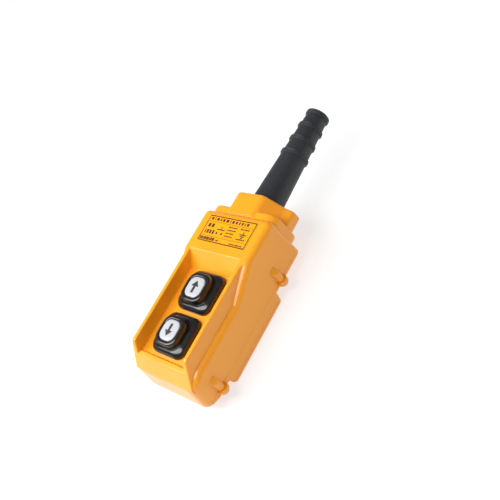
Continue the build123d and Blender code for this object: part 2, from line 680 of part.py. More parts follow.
with BuildPart() as terminal_base:
    with BuildSketch(Plane.XY.offset(BLOCK_Z[0])):
        block_outline()
    extrude(amount=BLOCK_Z[1] - BLOCK_Z[0])
    with BuildSketch(Plane.XY.offset(WELL_FLOOR_Z)):
        with Locations(*BUTTON_CENTRES):
            Rectangle(*WELL)
    extrude(amount=BLOCK_Z[1] - WELL_FLOOR_Z, mode=Mode.SUBTRACT)
    with BuildSketch(Plane.XY.offset(BLOCK_Z[0])):
        with Locations(*BUTTON_CENTRES):
            Circle(STEM_R + RUN)
        with Locations(*BLOCK_SCREW_CENTRES):
            Circle(SCREW_R + SCREW_CLEARANCE)
        # Slots that the strips' legs come through.
        leg_middle = LEG_X + STRIP / 2
        with Locations(*[(side * leg_middle, y) for side in (-1, 1) for _, y in BUTTON_CENTRES]):
            Rectangle(STRIP + 0.1, STRIP_WIDTH + 0.2)
    extrude(amount=BLOCK_Z[1] - BLOCK_Z[0], mode=Mode.SUBTRACT)
    with BuildSketch(Plane.XY.offset(BLOCK_Z[0])):
        with Locations(*TERMINALS):
            Circle(SCREW_R + 0.3)
    extrude(amount=5, mode=Mode.SUBTRACT)
    # Barrier between the two circuits, behind the terminals.
    with BuildSketch(Plane.XY.offset(BLOCK_Z[0] - 4)):
        with Locations((0, block_middle)):
            Rectangle(2 * BLOCK_HALF_WIDTH - 2, 2.0)
    extrude(amount=4)
finish(terminal_base, "terminal_base")

with BuildPart() as terminal_clamps:
    with BuildSketch(Plane.XY.offset(CLAMP_Z - CLAMP_WASHER)):
        with Locations(*TERMINALS):
            Rectangle(6.4, 6.4)
            Circle(SCREW_R + 0.1, mode=Mode.SUBTRACT)
    extrude(amount=CLAMP_WASHER)
finish(terminal_clamps, "terminal_clamps")
finish(pan_head_screw(TERMINALS, CLAMP_Z - CLAMP_WASHER, 15.0), "terminal_screws")
finish(pan_head_screw(BLOCK_SCREW_CENTRES, BLOCK_Z[0], 36.0), "block_screws")

# Steel plate that clamps both rubber boots' inner lips to the underside of the floor.
with BuildPart() as boot_clamp_plate:
    with BuildSketch(Plane.XY.offset(LIP_BOTTOM_Z - CLAMP_PLATE)):
        with Locations((0, block_middle)):
            RectangleRounded(42.0, BLOCK_TOP - BLOCK_BOTTOM, 3.0)
        with Locations(*BUTTON_CENTRES):
            RectangleRounded(OPENING[0] - 4.4, OPENING[1] - 4.4, 4.5, mode=Mode.SUBTRACT)
        with Locations(*BLOCK_SCREW_CENTRES):
            Circle(BLOCK_BOSS_R + 0.2, mode=Mode.SUBTRACT)
    extrude(amount=CLAMP_PLATE)
finish(boot_clamp_plate, "boot_clamp_plate")

# ------------------------------------------------------------------- cable boot
# Four rings near the tip, a plain taper below them, and a flange inside the socket.
def wall_radius(place):
    """Radius of the plain wall: a quick taper up to the rings, then a slower one."""
    if place <= RING_PLACES[0]:
        share = (place - COLLAR_END) / (RING_PLACES[0] - COLLAR_END)
        return NECK_R + share * (TAPER_END_R - NECK_R)
    share = (place - RING_PLACES[0]) / (LENGTH - RING_PLACES[0])
    return TAPER_END_R + share * (TIP_END_R - TAPER_END_R)


def boot_profile():
    """Radius and place of each corner of the boot's outside, from the flange to the tip."""
    corners = [
        (SOCKET_R - 0.3, SOCKET_END - BOOT_FLANGE),
        (SOCKET_R - 0.3, SOCKET_END),
        (NECK_R, SOCKET_END),
        (NECK_R, COLLAR_END),
    ]
    for place in RING_PLACES:
        low, high = place - RING_WIDTH / 2, place + RING_WIDTH / 2
        corners.append((wall_radius(low), low))
        corners.append((wall_radius(low) + RING_HEIGHT, low + 0.3))
        corners.append((wall_radius(high) + RING_HEIGHT, high - 0.3))
        if high < LENGTH:
            corners.append((wall_radius(high), high))
    return corners


with BuildPart() as cable_boot:
    with BuildSketch(Plane.XY.offset(AXIS_Z)):
        with BuildLine():
            profile = [(radius, along(place)) for radius, place in boot_profile()]
            Polyline(
                (CABLE_R, along(SOCKET_END - BOOT_FLANGE)),
                *profile,
                (wall_radius(LENGTH) + RING_HEIGHT - 0.4, along(LENGTH)),
                (CABLE_R, along(LENGTH)),
                close=True,
            )
        make_face()
    revolve(axis=Axis((0, 0, AXIS_Z), (0, 1, 0)))
finish(cable_boot, "cable_boot")

with BuildPart() as boot_retaining_ring:
    with BuildSketch(Plane.XZ.offset(-along(SOCKET_END - BOOT_FLANGE))):
        with Locations((0, AXIS_Z)):
            Circle(SOCKET_R)
            Circle(CABLE_R + 4, mode=Mode.SUBTRACT)
    extrude(amount=2.5)
finish(boot_retaining_ring, "boot_retaining_ring")

with BuildPart() as cable_clamp:
    with BuildSketch(Plane.XZ.offset(-along(CLAMP_PLACE + 4))):
        with Locations((0, AXIS_Z - CLAMP_SHEET / 2)):
            Rectangle(32.0, CLAMP_SHEET)
        with Locations((0, AXIS_Z)):
            Circle(CABLE_R + CLAMP_SHEET)
            Circle(CABLE_R, mode=Mode.SUBTRACT)
        with Locations((0, AXIS_Z + 10)):
            Rectangle(32.0, 20.0, mode=Mode.SUBTRACT)
    extrude(amount=8)
    with BuildSketch(Plane.XY.offset(AXIS_Z - CLAMP_SHEET)):
        with Locations(*CLAMP_SCREWS):
            Circle(SCREW_R + SCREW_CLEARANCE)
    extrude(amount=CLAMP_SHEET, mode=Mode.SUBTRACT)
finish(cable_clamp, "cable_clamp")
finish(pan_head_screw(CLAMP_SCREWS, AXIS_Z - CLAMP_SHEET, 36.0), "clamp_screws")
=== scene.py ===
"""Looks of the two-button pendant control station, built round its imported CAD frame.

Everything is in metres in the row frame: the station lies on its back, +Z comes out of the
button face, +Y runs towards the cable boot and +X is to the right as seen from the front.
"""

import json
import math

import bmesh
import bpy
from mathutils import Matrix, Quaternion, Vector


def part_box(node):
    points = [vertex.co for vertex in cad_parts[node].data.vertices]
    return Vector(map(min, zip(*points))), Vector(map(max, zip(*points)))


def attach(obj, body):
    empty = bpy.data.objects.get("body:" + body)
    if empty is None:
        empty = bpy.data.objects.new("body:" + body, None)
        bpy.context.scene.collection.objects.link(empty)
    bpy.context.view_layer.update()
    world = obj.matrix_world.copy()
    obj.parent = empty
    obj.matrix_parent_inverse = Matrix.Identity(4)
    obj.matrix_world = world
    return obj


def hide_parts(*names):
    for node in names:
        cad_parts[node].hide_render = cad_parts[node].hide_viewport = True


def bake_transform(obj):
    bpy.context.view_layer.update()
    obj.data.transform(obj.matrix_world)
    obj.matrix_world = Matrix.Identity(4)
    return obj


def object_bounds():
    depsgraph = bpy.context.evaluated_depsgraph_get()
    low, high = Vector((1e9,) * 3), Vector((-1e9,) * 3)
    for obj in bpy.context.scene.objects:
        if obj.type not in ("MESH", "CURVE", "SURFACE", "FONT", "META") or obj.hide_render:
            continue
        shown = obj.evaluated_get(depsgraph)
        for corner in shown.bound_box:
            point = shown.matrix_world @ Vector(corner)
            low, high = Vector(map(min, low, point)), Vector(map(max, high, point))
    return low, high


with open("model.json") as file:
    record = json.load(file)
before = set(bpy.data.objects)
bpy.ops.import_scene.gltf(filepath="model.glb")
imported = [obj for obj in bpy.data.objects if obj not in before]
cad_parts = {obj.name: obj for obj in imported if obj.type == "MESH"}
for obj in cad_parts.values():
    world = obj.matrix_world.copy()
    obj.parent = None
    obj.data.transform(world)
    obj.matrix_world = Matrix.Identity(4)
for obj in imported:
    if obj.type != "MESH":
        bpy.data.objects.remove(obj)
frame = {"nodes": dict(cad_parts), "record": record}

CAD_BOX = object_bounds()
NODES = frame["nodes"]
MM = 0.001

# ------------------------------------------------------------------------ camera
# The station is seen from above its right side, with the camera rolled so that it leans.
CAMERA_AT = Vector((0.3888, -0.15817, 0.38989))
CAMERA_AIM = Vector((0.0022, -0.0028, 0.0233))
CAMERA_ROLL = math.radians(-45.4)
LENS_MM, SENSOR_MM = 54.0, 36.0
CLIP_START = 0.01


def make_camera():
    """The photograph's viewpoint, with depth of field off and no shift."""
    data = bpy.data.cameras.new("camera")
    data.lens = LENS_MM
    data.sensor_width = SENSOR_MM
    data.clip_start = CLIP_START
    camera = bpy.data.objects.new("camera", data)
    bpy.context.scene.collection.objects.link(camera)
    facing = (CAMERA_AIM - CAMERA_AT).to_track_quat("-Z", "Y")
    camera.rotation_mode = "QUATERNION"
    camera.rotation_quaternion = facing @ Quaternion((0, 0, 1), CAMERA_ROLL)
    camera.location = CAMERA_AT
    bpy.context.scene.camera = camera


# --------------------------------------------------------------------- materials
# Base colours, linear RGB.
SHELL, SHELL_DEEP, SHELL_PALE = (0.93, 0.35, 0.008), (0.90, 0.32, 0.007), (1.0, 0.50, 0.06)
CHARCOAL, CHARCOAL_DARK = (0.023, 0.025, 0.029), (0.011, 0.012, 0.0135)
CHARCOAL_DUSTY = (0.038, 0.041, 0.046)
BLACK, BLACK_DUSTY = (0.006, 0.006, 0.0065), (0.014, 0.0145, 0.015)
WHITE, WHITE_DULL = (0.50, 0.50, 0.52), (0.43, 0.43, 0.45)
LABEL, LABEL_DEEP = (0.93, 0.365, 0.005), (0.90, 0.335, 0.004)
LABEL_INK, LEGEND_INK = (0.045, 0.018, 0.004), (0.02, 0.02, 0.022)
SEAL, NYLON = (0.012, 0.012, 0.013), (0.62, 0.60, 0.54)
SCREW, PLATING = (0.52, 0.53, 0.55), (0.62, 0.60, 0.52)
SPRING_WIRE, BRASS = (0.42, 0.42, 0.44), (0.78, 0.52, 0.20)
FLOOR_WHITE = (0.35, 0.35, 0.35)

# Edges softened by the shader, in metres, where no fillet was modelled.
SHELL_EDGE, METAL_EDGE, MOULDED_EDGE = 1.0 * MM, 0.15 * MM, 0.25 * MM
BEVEL_SAMPLES = 6


class Material:
    """A node material with a few short ways to add the textures that the surfaces share."""

    def __init__(self, name, colour, roughness, **inputs):
        self.data = bpy.data.materials.new(name)
        self.data.use_nodes = True
        self.data.diffuse_color = (*colour, 1)
        self.tree = self.data.node_tree
        self.shader = self.tree.nodes["Principled BSDF"]
        self.shader.inputs["Base Color"].default_value = (*colour, 1)
        self.shader.inputs["Roughness"].default_value = roughness
        for socket, value in inputs.items():
            self.shader.inputs[socket.replace("_", " ")].default_value = value
        self.place = self.node("ShaderNodeTexCoord").outputs["Object"]

    def node(self, kind, **settings):
        """New shader node with its properties set."""
        made = self.tree.nodes.new(kind)
        for name, value in settings.items():
            setattr(made, name, value)
        return made

    def link(self, output, target):
        """Join an output to an input."""
        self.tree.links.new(output, target)

    def stretched(self, factors):
        """Object coordinates scaled unevenly, for grain that runs one way."""
        mapping = self.node("ShaderNodeMapping")
        mapping.inputs["Scale"].default_value = factors
        self.link(self.place, mapping.inputs["Vector"])
        return mapping.outputs["Vector"]

    def noise(self, size, detail=3.0, place=None):
        """Noise from 0 to 1 whose blobs are about size metres across."""
        made = self.node("ShaderNodeTexNoise")
        made.inputs["Scale"].default_value = 1 / size
        made.inputs["Detail"].default_value = detail
        self.link(place or self.place, made.inputs["Vector"])
        return made.outputs["Fac"]

    def remap(self, value, low, high, to_low=0.0, to_high=1.0):
        """Value spread from low..high to to_low..to_high, and held within it."""
        made = self.node("ShaderNodeMapRange")
        for socket, number in zip(("From Min", "From Max", "To Min", "To Max"),
                                  (low, high, to_low, to_high)):
            made.inputs[socket].default_value = number
        self.link(value, made.inputs["Value"])
        return made.outputs["Result"]

    def math(self, operation, first, second):
        """Sum, product or the like of two numbers or sockets."""
        made = self.node("ShaderNodeMath", operation=operation)
        for socket, value in zip(made.inputs, (first, second)):
            if isinstance(value, (int, float)):
                socket.default_value = value
            else:
                self.link(value, socket)
        return made.outputs["Value"]

    def mix(self, share, first, second):
        """Colour between first and second, each a colour or a socket."""
        made = self.node("ShaderNodeMix", data_type="RGBA")
        self.link(share, made.inputs["Factor"])
        for socket, value in (("A", first), ("B", second)):
            target = [s for s in made.inputs if s.name == socket and s.type == "RGBA"][0]
            if isinstance(value, tuple):
                target.default_value = (*value, 1)
            else:
                self.link(value, target)
        return [s for s in made.outputs if s.type == "RGBA"][0]

    def edges(self, radius):
        """How flat the surface is, and its normal rounded over the edges, radius in metres.

        Flatness is 1 on the flats and falls where the surface turns within the radius.
        """
        bevel = self.node("ShaderNodeBevel", samples=BEVEL_SAMPLES)
        bevel.inputs["Radius"].default_value = radius
        geometry = self.node("ShaderNodeNewGeometry")
        dot = self.node("ShaderNodeVectorMath", operation="DOT_PRODUCT")
        self.link(bevel.outputs["Normal"], dot.inputs[0])
        self.link(geometry.outputs["Normal"], dot.inputs[1])
        return dot.outputs["Value"], bevel.outputs["Normal"]

    def bump(self, height, strength, distance, normal=None):
        """Normal that follows a height, on top of another normal if there is one."""
        made = self.node("ShaderNodeBump")
        made.inputs["Strength"].default_value = strength
        made.inputs["Distance"].default_value = distance
        self.link(height, made.inputs["Height"])
        if normal is not None:
            self.link(normal, made.inputs["Normal"])
        return made.outputs["Normal"]

    def colour(self, socket):
        self.link(socket, self.shader.inputs["Base Color"])

    def roughness(self, socket):
        self.link(socket, self.shader.inputs["Roughness"])

    def normal(self, socket):
        self.link(socket, self.shader.inputs["Normal"])


def orange_shell():
    """Yellow-orange moulded plastic: fine orange peel, faint mottling, and a painted highlight
    as paler colour along the edges.
    """
    made = Material("orange_shell", SHELL, 0.34, Coat_Weight=0.35, Coat_Roughness=0.09)
    flow = made.noise(38 * MM, detail=4.0, place=made.stretched((1.0, 0.45, 1.0)))
    speck = made.noise(0.9 * MM, detail=2.0)
    mottled = made.mix(made.remap(flow, 0.3, 0.7), SHELL_DEEP, SHELL)
    specked = made.mix(made.remap(speck, 0.62, 0.8, to_high=0.35), mottled, SHELL_PALE)
    # Painted highlight: the colour turns paler along the edges, in patches set by noise; the
    # same mask also lowers the roughness there.
    flatness, rounded = made.edges(SHELL_EDGE)
    turning = made.remap(flatness, 0.995, 0.9)
    highlight_patches = made.remap(made.noise(6 * MM), 0.35, 0.65)
    painted_edge_highlight = made.remap(made.math("MULTIPLY", turning, highlight_patches), 0, 1, to_high=0.45)
    made.colour(made.mix(painted_edge_highlight, specked, SHELL_PALE))
    smudges = made.remap(made.noise(17 * MM, detail=5.0), 0.3, 0.75, to_low=0.28, to_high=0.38)
    made.roughness(made.math("SUBTRACT", smudges, made.math("MULTIPLY", painted_edge_highlight, 0.2)))
    peel = made.bump(made.noise(2.4 * MM, detail=2.0), strength=0.10, distance=0.4 * MM,
                     normal=rounded)
    made.normal(made.bump(made.noise(0.5 * MM, detail=2.0), strength=0.05, distance=0.15 * MM,
                          normal=peel))
    return made.data


def boot_rubber():
    """Matt charcoal rubber with a fine grain, drawn out along the boot, and dusty patches."""
    made = Material("boot_rubber", CHARCOAL, 0.5, Specular_IOR_Level=0.4)
    grain = made.noise(1.1 * MM, detail=4.0, place=made.stretched((1.0, 0.25, 1.0)))
    patches = made.noise(22 * MM, detail=4.0, place=made.stretched((1.0, 0.4, 1.0)))
    dusty = made.mix(made.remap(patches, 0.35, 0.75, to_high=0.6), CHARCOAL, CHARCOAL_DUSTY)
    made.colour(made.mix(made.remap(grain, 0.4, 0.7, to_high=0.35), dusty, CHARCOAL_DARK))
    made.roughness(made.remap(patches, 0.3, 0.7, to_low=0.44, to_high=0.58))
    coarse = made.bump(made.noise(3.2 * MM), strength=0.12, distance=0.3 * MM)
    made.normal(made.bump(grain, strength=0.22, distance=0.12 * MM, normal=coarse))
    return made.data


def button_rubber():
    """Glossy black rubber with a slightly uneven skin and a few dull smears."""
    made = Material("button_rubber", BLACK, 0.22, Coat_Weight=0.4, Coat_Roughness=0.1)
    smears = made.noise(5 * MM, detail=4.0)
    made.colour(made.mix(made.remap(smears, 0.4, 0.75, to_high=0.5), BLACK, BLACK_DUSTY))
    made.roughness(made.remap(smears, 0.3, 0.7, to_low=0.17, to_high=0.28))
    skin = made.bump(made.noise(4.0 * MM, detail=2.0), strength=0.04, distance=0.4 * MM)
    made.normal(made.bump(made.noise(0.4 * MM, detail=2.0), strength=0.04, distance=0.06 * MM,
                          normal=skin))
    return made.data


def legend_white():
    """Off-white plastic insert, satin, with faint handling marks."""
    made = Material("legend_white", WHITE, 0.3, Coat_Weight=0.3, Coat_Roughness=0.15,
                    Subsurface_Weight=0.06, Subsurface_Scale=0.001)
    marks = made.noise(3.5 * MM, detail=5.0)
    made.colour(made.mix(made.remap(marks, 0.45, 0.75, to_high=0.5), WHITE, WHITE_DULL))
    made.roughness(made.remap(marks, 0.3, 0.7, to_low=0.24, to_high=0.4))
    made.normal(made.bump(made.noise(1.5 * MM, detail=2.0), strength=0.05, distance=0.2 * MM))
    return made.data


def printed_ink(name, colour):
    """Thin screen-printed ink whose cover varies a little."""
    made = Material(name, colour, 0.45)
    cover = made.noise(0.35 * MM)
    thin = tuple(min(1.0, 2.4 * c + 0.02) for c in colour)
    made.colour(made.mix(made.remap(cover, 0.5, 0.8, to_high=0.5), colour, thin))
    made.roughness(made.remap(cover, 0.3, 0.7, to_low=0.38, to_high=0.52))
    made.normal(made.bump(cover, strength=0.06, distance=0.05 * MM))
    return made.data


def label_film():
    """Yellow polyester label with a satin lacquer and faint waves from its adhesive."""
    made = Material("label_film", LABEL, 0.33, Coat_Weight=0.1, Coat_Roughness=0.18,
                    Specular_IOR_Level=0.3)
    waves = made.noise(9 * MM)
    made.colour(made.mix(made.remap(waves, 0.3, 0.7), LABEL, LABEL_DEEP))
    lacquer = made.noise(2 * MM, detail=4.0)
    made.roughness(made.remap(lacquer, 0.3, 0.7, to_low=0.28, to_high=0.38))
    made.normal(made.bump(waves, strength=0.08, distance=0.3 * MM))
    return made.data


def turned_metal(name, colour, roughness):
    """Plated or bare metal with fine machining grain and duller patches."""
    made = Material(name, colour, roughness, Metallic=1.0)
    grain = made.noise(0.5 * MM, place=made.stretched((1.0, 1.0, 0.2)))
    tarnish = made.noise(2.5 * MM, detail=4.0)
    dull = tuple(0.6 * c for c in colour)
    made.colour(made.mix(made.remap(tarnish, 0.45, 0.75, to_high=0.6), colour, dull))
    made.roughness(made.remap(tarnish, 0.3, 0.7, to_low=roughness - 0.06,
                              to_high=roughness + 0.14))
    _, rounded = made.edges(METAL_EDGE)
    made.normal(made.bump(grain, strength=0.12, distance=0.05 * MM, normal=rounded))
    return made.data


def moulded(name, colour, roughness):
    """Plain moulded part: nylon or seal rubber, with its own grain and flow marks."""
    made = Material(name, colour, roughness)
    flow = made.noise(8 * MM, detail=4.0)
    deep = tuple(0.75 * c for c in colour)
    made.colour(made.mix(made.remap(flow, 0.35, 0.7), colour, deep))
    made.roughness(made.remap(flow, 0.3, 0.7, to_low=roughness - 0.05,
                              to_high=roughness + 0.08))
    _, rounded = made.edges(MOULDED_EDGE)
    made.normal(made.bump(made.noise(0.8 * MM), strength=0.15, distance=0.1 * MM,
                          normal=rounded))
    return made.data


def make_materials():
    """Every material by its name; the CAD nodes' slots have the same names."""
    return {
        "orange_shell": orange_shell(),
        "boot_rubber": boot_rubber(),
        "button_rubber": button_rubber(),
        "legend_white": legend_white(),
        "label_film": label_film(),
        "label_ink": printed_ink("label_ink", LABEL_INK),
        "legend_ink": printed_ink("legend_ink", LEGEND_INK),
        "black_rubber_seal": moulded("black_rubber_seal", SEAL, roughness=0.55),
        "screw_steel": turned_metal("screw_steel", SCREW, roughness=0.3),
        "plated_steel": turned_metal("plated_steel", PLATING, roughness=0.34),
        "spring_steel": turned_metal("spring_steel", SPRING_WIRE, roughness=0.28),
        "brass": turned_metal("brass", BRASS, roughness=0.27),
        "inner_nylon": moulded("inner_nylon", NYLON, roughness=0.42),
    }


def dress_frame(materials):
    """Give each CAD node the material of the slot that the record names for it."""
    for part in frame["record"]["subparts"]:
        for slot in NODES[part["node"]].material_slots:
            slot.material = materials[part["material_slot"]]


# ------------------------------------------------------------------ mesh helpers
def new_piece(name, mesh, material, body):
    """Link a finished mesh as a piece of the object, riding on body unless that is None."""
    piece = bpy.data.objects.new(name, mesh)
    bpy.context.scene.collection.objects.link(piece)
    mesh.materials.append(material)
    if body is not None:
        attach(piece, body)
    return piece


def smooth(mesh):
    """Shade every face smooth."""
    for face in mesh.polygons:
        face.use_smooth = True


def finish_mesh(form, name):
    """Mesh from a bmesh, with its faces turned outwards."""
    bmesh.ops.recalc_face_normals(form, faces=form.faces)
    mesh = bpy.data.meshes.new(name)
    form.to_mesh(mesh)
    form.free()
    return mesh


def join_rows(form, here, there):
    """Band of faces between two closed rows with the same number of vertices."""
    for i in range(len(here)):
        j = (i + 1) % len(here)
        form.faces.new((here[i], here[j], there[j], there[i]))


def add_plate(form, outline, z, thickness):
    """Thin plate from an outline of (x, y) points in metres, with its underside at z."""
    face = form.faces.new([form.verts.new((x, y, z)) for x, y in outline])
    risen = bmesh.ops.extrude_face_region(form, geom=[face])
    for item in risen["geom"]:
        if isinstance(item, bmesh.types.BMVert):
            item.co.z += thickness


# Steps round each corner of a rounded rectangle.
CORNER_STEPS = 8


def rounded_ring(half_x, half_y, radius):
    """Points of a rounded rectangle, the same number of them for every size."""
    points = []
    for corner, (sign_x, sign_y) in enumerate(((1, 1), (-1, 1), (-1, -1), (1, -1))):
        for step in range(CORNER_STEPS + 1):
            angle = math.radians(90 * (corner + step / CORNER_STEPS))
            x = sign_x * (half_x - radius) + radius * math.cos(angle)
            y = sign_y * (half_y - radius) + radius * math.sin(angle)
            points.append((x, y))
    return points


def stack_rings(name, centre, rings, closed):
    """Mesh through rings of (half_x, half_y, radius, z) in mm about centre.

    A closed stack joins its last ring to its first, as a sleeve does; an open one gets a
    flat cap at each end.
    """
    form = bmesh.new()
    rows = []
    for half_x, half_y, radius, z in rings:
        outline = rounded_ring(half_x, half_y, radius)
        rows.append([form.verts.new((centre.x + x * MM, centre.y + y * MM, z * MM))
                     for x, y in outline])
    pairs = list(zip(rows, rows[1:]))
    if closed:
        pairs.append((rows[-1], rows[0]))
    else:
        form.faces.new(rows[0])
        form.faces.new(rows[-1])
    for low, high in pairs:
        join_rows(form, low, high)
    mesh = finish_mesh(form, name)
    smooth(mesh)
    return mesh


def lathe(name, profile, axis_z, steps):
    """Closed mesh from a closed profile of (radius, y) in metres.

    It is turned about the line through x = 0 and z = axis_z that runs along Y.
    """
    form = bmesh.new()
    columns = []
    for step in range(steps):
        angle = 2 * math.pi * step / steps
        columns.append([form.verts.new((r * math.sin(angle), y, axis_z + r * math.cos(angle)))
                        for r, y in profile])
    for step in range(steps):
        join_rows(form, columns[step], columns[(step + 1) % steps])
    mesh = finish_mesh(form, name)
    smooth(mesh)
    return mesh


def subdivide(piece, levels):
    """Apply a subdivision surface, so that what follows sees the final mesh."""
    modifier = piece.modifiers.new("subdivision", "SUBSURF")
    modifier.levels = levels
    modifier.render_levels = levels
    depsgraph = bpy.context.evaluated_depsgraph_get()
    mesh = bpy.data.meshes.new_from_object(piece.evaluated_get(depsgraph))
    piece.modifiers.remove(modifier)
    piece.data = mesh
    smooth(mesh)


# ----------------------------------------------------------------------- buttons
# Levels of subdivision on the boot and the legend.
SMOOTHING = 2

# Rings of the rubber boot, in mm: half width, half length, corner radius and height. They run
# up the outside, over the ring round the legend, and back down the inside.
BOOT_RINGS = [
    (17.2, 16.0, 8.0, 40.0),
    (17.2, 16.0, 8.0, 40.3),
    (17.2, 16.0, 8.0, 41.6),
    (17.0, 15.8, 8.0, 42.8),
    (16.3, 15.2, 7.9, 44.0),
    (15.1, 14.2, 7.8, 44.9),
    (13.8, 13.3, 7.7, 45.4),
    (12.7, 12.7, 7.6, 45.6),
    (12.1, 12.4, 7.5, 45.4),
    (11.7, 12.1, 7.5, 44.9),
    (11.4, 11.9, 7.5, 45.2),
    (11.2, 11.8, 7.5, 46.0),
    (11.0, 11.6, 7.4, 48.2),
    (10.8, 11.4, 7.2, 49.4),
    (10.3, 10.9, 6.9, 50.0),
    (9.5, 9.9, 6.6, 50.2),
    (8.6, 8.8, 6.1, 50.15),
    (8.15, 8.25, 5.8, 49.9),
    (7.95, 8.05, 5.6, 49.4),
    (7.95, 8.05, 5.6, 48.0),
    (9.6, 10.0, 6.0, 47.8),
    (9.6, 10.0, 6.0, 44.6),
    (10.4, 9.6, 5.6, 42.0),
    (12.4, 11.4, 5.2, 35.5),
    (16.6, 15.5, 7.4, 35.4),
    (16.7, 15.6, 7.4, 36.9),
    (14.9, 13.9, 6.4, 37.1),
    (14.9, 13.9, 6.4, 39.9),
]

# Rings of the legend insert, in the same way, from the foot of its spigot to its crown.
LEGEND_RINGS = [
    (2.3, 2.3, 2.2, 44.1),
    (2.35, 2.35, 2.3, 44.3),
    (2.35, 2.35, 2.3, 47.4),
    (7.7, 7.8, 5.5, 47.55),
    (7.8, 7.9, 5.6, 47.8),
    (7.8, 7.9, 5.6, 49.5),
    (7.7, 7.8, 5.5, 49.9),
    (7.35, 7.45, 5.3, 50.12),
    (6.4, 6.5, 4.8, 50.26),
    (4.2, 4.3, 3.4, 50.35),
    (1.6, 1.7, 1.5, 50.38),
]


# The arrow: half widths of its head and shaft, its length, where the head starts from the
# middle, its underside's height, and its thickness.
ARROW_HEAD, ARROW_SHAFT, ARROW_LENGTH = 3.7 * MM, 1.15 * MM, 9.6 * MM
ARROW_NECK = 0.4 * MM
ARROW_Z, ARROW_THICKNESS = 50.2 * MM, 0.22 * MM

# The return spring's wire, and the steps that its coil is drawn with.
SPRING_WIRE_R, SPRING_TURNS = 0.45 * MM, 5
SPRING_STEPS, SPRING_SIDES = 24, 8


def arrow_outline(centre, turn):
    """Outline of an arrow in metres, pointing towards +Y, or towards -Y when turn is -1."""
    head, shaft, end, neck = ARROW_HEAD, ARROW_SHAFT, ARROW_LENGTH / 2, ARROW_NECK
    corners = [(-shaft, -end), (shaft, -end), (shaft, neck), (head, neck),
               (0, end), (-head, neck), (-shaft, neck)]
    return [(centre.x + x, centre.y + turn * y) for x, y in corners]


def make_button(name, turn, materials):
    """Rubber boot over the button, and the legend with its arrow, which ride on the button."""
    low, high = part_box(f"{name}_button_boot")
    centre = (low + high) / 2
    body = f"{name}_button"

    mesh = stack_rings(f"{name}_rubber_boot", centre, BOOT_RINGS, closed=True)
    boot = new_piece(f"{name}_rubber_boot", mesh, materials["button_rubber"],
                     None)
    subdivide(boot, SMOOTHING)
    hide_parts(f"{name}_button_boot")
    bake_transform(boot)

    mesh = stack_rings(f"{name}_legend", centre, LEGEND_RINGS, closed=False)
    legend = new_piece(f"{name}_legend", mesh, materials["legend_white"], None)
    subdivide(legend, SMOOTHING)
    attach(legend, body)
    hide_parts(f"{name}_legend_insert")

    form = bmesh.new()
    add_plate(form, arrow_outline(centre, turn), ARROW_Z, ARROW_THICKNESS)
    mesh = finish_mesh(form, f"{name}_arrow")
    new_piece(f"{name}_arrow", mesh, materials["legend_ink"], body)


def make_return_spring(name, materials):
    """Coil spring inside the housing, under its button."""
    low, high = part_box(f"{name}_return_spring")
    centre = (low + high) / 2
    wire, steps = SPRING_WIRE_R, SPRING_TURNS * SPRING_STEPS
    coil = (high.x - low.x) / 2 - wire
    form = bmesh.new()
    rows = []
    for step in range(steps + 1):
        around = 2 * math.pi * step / SPRING_STEPS
        outward = Vector((math.cos(around), math.sin(around), 0))
        middle = Vector((centre.x, centre.y, low.z + wire)) + coil * outward
        middle.z += (high.z - low.z - 2 * wire) * step / steps
        rows.append([])
        for side in range(SPRING_SIDES):
            angle = 2 * math.pi * side / SPRING_SIDES
            offset = outward * math.cos(angle) + Vector((0, 0, math.sin(angle)))
            rows[-1].append(form.verts.new(middle + wire * offset))
    form.faces.new(rows[0])
    form.faces.new(rows[-1])
    for here, there in zip(rows, rows[1:]):
        join_rows(form, here, there)
    mesh = finish_mesh(form, f"{name}_spring_coil")
    smooth(mesh)
    spring = new_piece(f"{name}_spring_coil", mesh, materials["spring_steel"],
                       None)
    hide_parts(f"{name}_return_spring")
    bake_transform(spring)


# --------------------------------------------------------------------- the label
# Every length on the label is in mm from its lower left corner. First the frame round it, then
# the ruled lines as left end, foot and width.
FRAME_AT, FRAME_SIZE, FRAME_LINE = (0.6, 0.6), (48.8, 22.0), 0.85
RULES, RULE_HEIGHT = ((2.0, 17.3, 46.0), (23.4, 5.1, 24.6), (2.0, 5.1, 19.6)), 0.3

# Rows of bars in place of print: left end, foot, height, the bars' widths, and the gap.
PRINT_ROWS = [
    # The heading.
    (3.2, 18.7, 2.3, (2.2, 0.9, 2.6, 1.3, 2.2, 2.8, 0.9, 2.4, 2.0, 1.5, 1.8, 0.9, 2.2), 1.3),
    # The two large entries on the left.
    (3.6, 12.6, 3.2, (2.6, 2.6), 1.1),
    (3.4, 7.3, 3.2, (1.0, 2.0, 2.0, 2.0), 0.9),
    # The line along the foot.
    (2.0, 1.9, 2.5, (1.3, 1.6, 0.8, 2.0, 2.4, 0.8, 1.8, 2.2), 0.35),
    (18.6, 2.2, 1.3, (0.7, 1.4, 0.6), 0.4),
    (33.4, 2.0, 1.0, (1.6, 2.4, 1.2, 3.0, 1.4, 1.6), 0.4),
]

# Columns of small print: left end, foot of the top row, step from row to row, and the widths.
PRINT_COLUMNS = [
    (24.8, 14.9, 2.55, ((2.4, 1.4, 2.4, 1.2), (1.2, 2.6, 1.6, 1.8), (2.2, 1.0, 2.4, 1.0),
                        (1.8, 2.0, 1.2, 1.6))),
    (37.0, 15.1, 8.3, ((2.2, 1.2, 2.6, 1.4), (1.5, 2.8, 1.9, 1.2))),
]
SMALL_PRINT, SMALL_GAP = 1.05, 0.45

